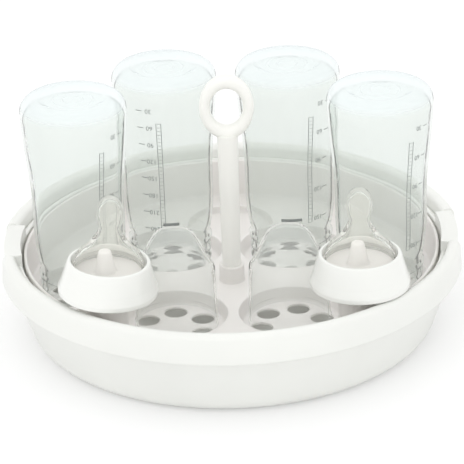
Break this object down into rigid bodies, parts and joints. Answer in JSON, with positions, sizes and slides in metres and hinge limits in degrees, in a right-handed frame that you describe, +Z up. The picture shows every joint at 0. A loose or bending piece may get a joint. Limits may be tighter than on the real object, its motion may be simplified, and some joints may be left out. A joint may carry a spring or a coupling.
{
  "type": "microwave bottle sterilizer",
  "caption": "Round steam sterilizer bowl with a lift-out basket on a ring-topped post, holding upturned glass feeding bottles, clear hoods and collared teats on pegs.",
  "frame": {"origin": "on the standing surface under the middle of the bowl", "axes": "+X to the right through one latch land, +Y away from the two teats, +Z up along the handle post"},
  "size_m": [0.2814, 0.2854, 0.1635],
  "materials": {
    "bowl_plastic": "smooth satin-gloss white moulding",
    "basket_plastic": "smooth warm white moulding",
    "bottle_glass": "clear glass with a faint green-grey edge",
    "hood_plastic": "clear thin plastic",
    "collar_plastic": "glossy white moulding",
    "teat_silicone": "clear soft silicone"
  },
  "bodies": {
    "bowl": {"bowl": "bowl_plastic"},
    "basket": {"basket": "basket_plastic", "well_left": "basket_plastic", "well_right": "basket_plastic", "well_back_left": "basket_plastic", "well_back_right": "basket_plastic", "well_front_left": "basket_plastic", "well_front_right": "basket_plastic", "back_seat": "basket_plastic", "peg_left": "basket_plastic", "peg_right": "basket_plastic", "peg_seat_left": "basket_plastic", "peg_seat_right": "basket_plastic", "handle": "basket_plastic"},
    "bottle_left": {"bottle_left": "bottle_glass"},
    "bottle_back_left": {"bottle_back_left": "bottle_glass"},
    "bottle_back_right": {"bottle_back_right": "bottle_glass"},
    "bottle_right": {"bottle_right": "bottle_glass"},
    "hood_left": {"hood_left": "hood_plastic"},
    "hood_right": {"hood_right": "hood_plastic"},
    "teat_set_left": {"collar_left": "collar_plastic", "teat_left": "teat_silicone"},
    "teat_set_right": {"collar_right": "collar_plastic", "teat_right": "teat_silicone"}
  },
  "joints": [
    {"name": "basket_lift", "type": "slide", "parent": "bowl", "child": "basket", "axis": [0, 0, 1], "range_m": [0, 0.06]},
    {"name": "bottle_left_lift", "type": "slide", "parent": "basket", "child": "bottle_left", "axis": [0, 0, 1], "range_m": [0, 0.06]},
    {"name": "bottle_back_left_lift", "type": "slide", "parent": "basket", "child": "bottle_back_left", "axis": [0, 0, 1], "range_m": [0, 0.06]},
    {"name": "bottle_back_right_lift", "type": "slide", "parent": "basket", "child": "bottle_back_right", "axis": [0, 0, 1], "range_m": [0, 0.06]},
    {"name": "bottle_right_lift", "type": "slide", "parent": "basket", "child": "bottle_right", "axis": [0, 0, 1], "range_m": [0, 0.06]},
    {"name": "hood_left_lift", "type": "slide", "parent": "basket", "child": "hood_left", "axis": [0, 0, 1], "range_m": [0, 0.06]},
    {"name": "hood_right_lift", "type": "slide", "parent": "basket", "child": "hood_right", "axis": [0, 0, 1], "range_m": [0, 0.06]},
    {"name": "teat_set_left_lift", "type": "slide", "parent": "basket", "child": "teat_set_left", "axis": [0, 0, 1], "range_m": [0, 0.04]},
    {"name": "teat_set_right_lift", "type": "slide", "parent": "basket", "child": "teat_set_right", "axis": [0, 0, 1], "range_m": [0, 0.04]}
  ]
}
